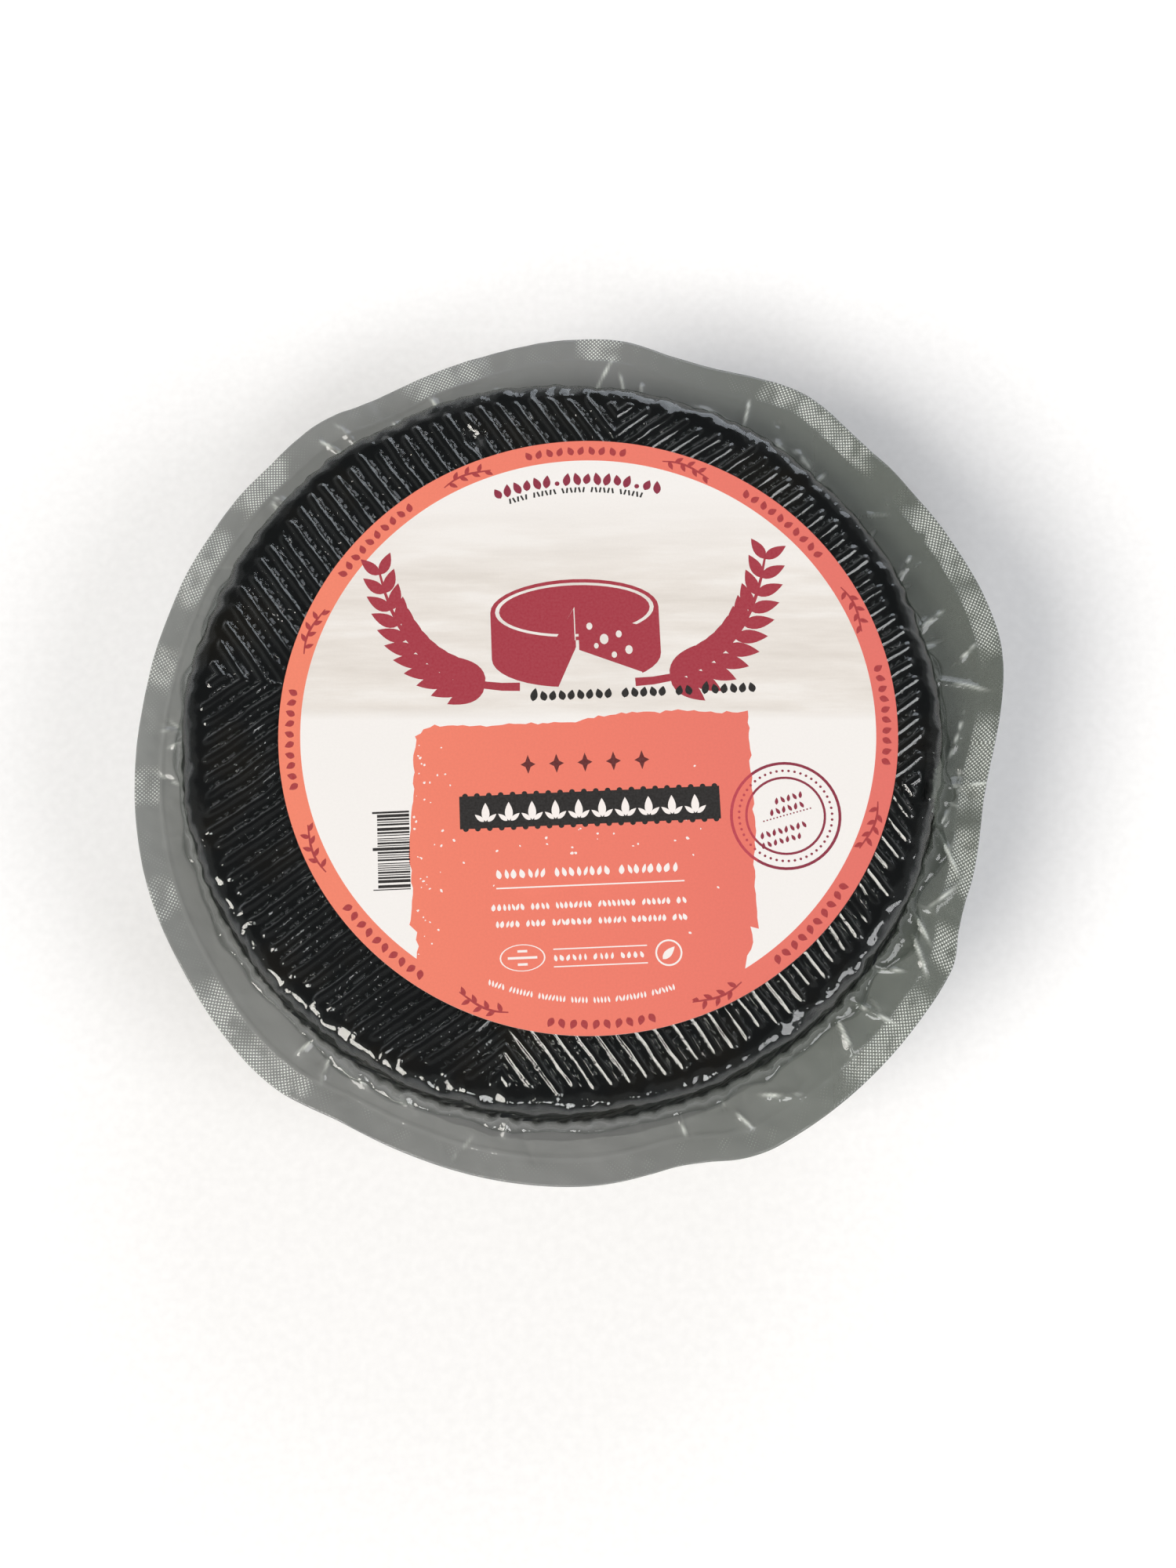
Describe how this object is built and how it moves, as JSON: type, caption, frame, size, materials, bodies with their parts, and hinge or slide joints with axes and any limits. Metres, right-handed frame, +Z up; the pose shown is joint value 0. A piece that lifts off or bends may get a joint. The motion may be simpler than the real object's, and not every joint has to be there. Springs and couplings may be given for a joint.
{
  "type": "cheese wheel",
  "caption": "Round pressed cheese wheel with a dark ridged rind, sealed in a clear vacuum film with a wavy flange and a round paper label on top.",
  "frame": {"origin": "centre of the flat base that the pack rests on, on the axis of the wheel", "axes": "+Z up along the axis of the wheel, +Y towards the top of the label, +X towards the label's right"},
  "size_m": [0.2615, 0.2646, 0.0856],
  "materials": {
    "coated_rind": "black food-grade coating over a pressed rind",
    "clear_film": "clear vacuum film, glossy, drawn tight",
    "printed_paper": "coated label paper with a coral and crimson print"
  },
  "bodies": {
    "root": {"cheese_wheel": "coated_rind", "lower_film": "clear_film", "upper_film": "clear_film", "sealed_flange": "clear_film", "paper_label": "printed_paper"}
  },
  "joints": []
}
